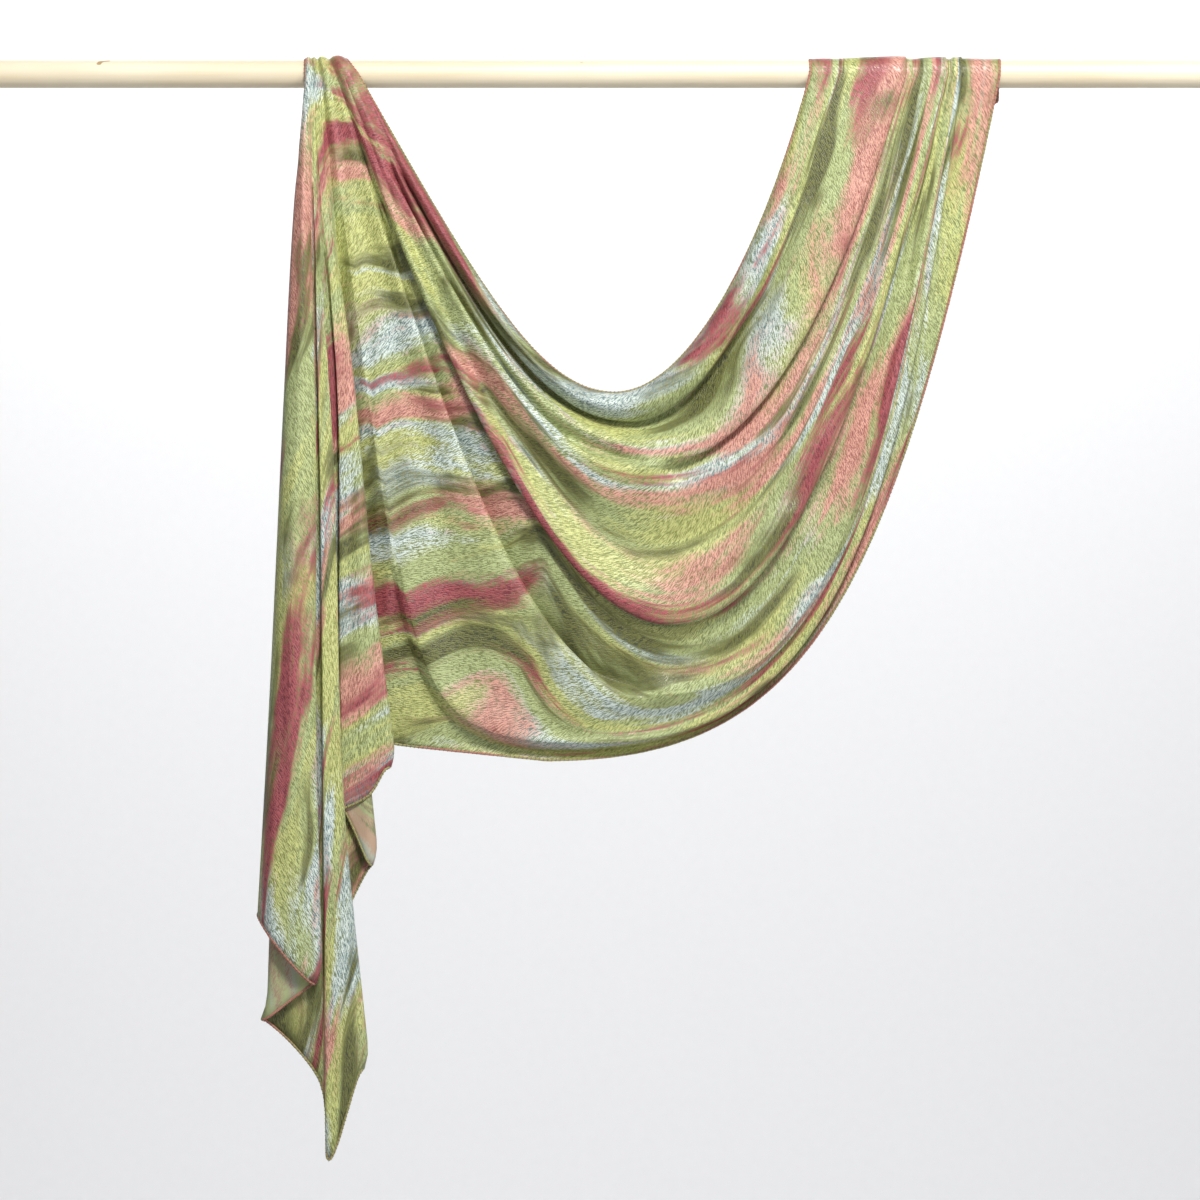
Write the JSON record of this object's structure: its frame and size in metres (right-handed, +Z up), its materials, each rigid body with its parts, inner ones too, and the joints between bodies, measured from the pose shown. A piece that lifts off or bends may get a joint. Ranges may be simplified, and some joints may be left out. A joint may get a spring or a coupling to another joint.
{
  "type": "hijab draped over a round rod",
  "caption": "Long rectangular satin crepe headscarf gathered over a round wooden rod, with a deep draped swag, a folded tail and a short end laid over the rod.",
  "frame": {"origin": "centre of the rod, on its axis, half way along it", "axes": "+X along the rod to the viewer's right, -Y towards the viewer, +Z up"},
  "size_m": [1.3, 0.0959, 1.1068],
  "materials": {
    "satin_crepe": "crinkled satin crepe with a soft sheen, streaked in green, pale mint, salmon pink and crimson",
    "painted_wood": "smooth cream paint on wood, satin"
  },
  "bodies": {
    "root": {"swag": "satin_crepe", "tail": "satin_crepe", "gather_over_rod": "satin_crepe", "end_over_rod": "satin_crepe", "rod": "painted_wood"}
  },
  "joints": []
}
